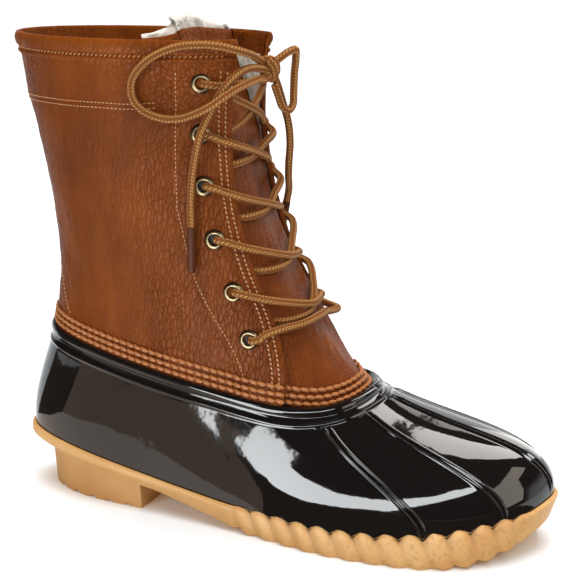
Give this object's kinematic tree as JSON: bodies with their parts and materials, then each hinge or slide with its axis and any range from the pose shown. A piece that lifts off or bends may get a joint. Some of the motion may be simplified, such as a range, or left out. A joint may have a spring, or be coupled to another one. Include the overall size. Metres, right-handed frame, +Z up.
{
  "type": "duck boot",
  "caption": "Right-foot duck boot: gum sole with a low heel, moulded glossy rubber lower with a ribbed vamp, lace-up leather shaft with brass eyelets.",
  "frame": {"origin": "on the floor, below the middle of the boot's length and width", "axes": "+X towards the toe, +Y towards the medial side of this right boot, +Z up"},
  "size_m": [0.2894, 0.1031, 0.2439],
  "materials": {
    "gum_rubber": "matt moulded gum rubber",
    "gloss_rubber": "glossy moulded black rubber",
    "leather": "pebbled brown leather, semi-gloss",
    "tongue_leather": "pebbled brown leather, softer",
    "insole_cloth": "cream fleece",
    "aged_brass": "aged brass",
    "lace_cord": "round braided cord, brown with gold",
    "aglet": "dark brown lace tip"
  },
  "bodies": {
    "root": {"outsole": "gum_rubber", "insole": "insole_cloth", "rubber_shell": "gloss_rubber", "leather_shaft": "leather", "tongue": "tongue_leather", "eyelet_near_1": "aged_brass", "eyelet_near_2": "aged_brass", "eyelet_near_3": "aged_brass", "eyelet_near_4": "aged_brass", "eyelet_near_5": "aged_brass", "eyelet_near_6": "aged_brass", "eyelet_far_1": "aged_brass", "eyelet_far_2": "aged_brass", "eyelet_far_3": "aged_brass", "eyelet_far_4": "aged_brass", "eyelet_far_5": "aged_brass", "eyelet_far_6": "aged_brass", "lace_bottom_bar": "lace_cord", "lace_crossing_1": "lace_cord", "lace_crossing_2": "lace_cord", "lace_crossing_3": "lace_cord", "lace_crossing_4": "lace_cord", "lace_crossing_5": "lace_cord", "lace_top_bar": "lace_cord", "lace_knot": "lace_cord", "lace_loop_near": "lace_cord", "lace_loop_far": "lace_cord", "lace_end_near": "lace_cord", "lace_end_far": "lace_cord", "aglet_near": "aglet", "aglet_far": "aglet"}
  },
  "joints": []
}
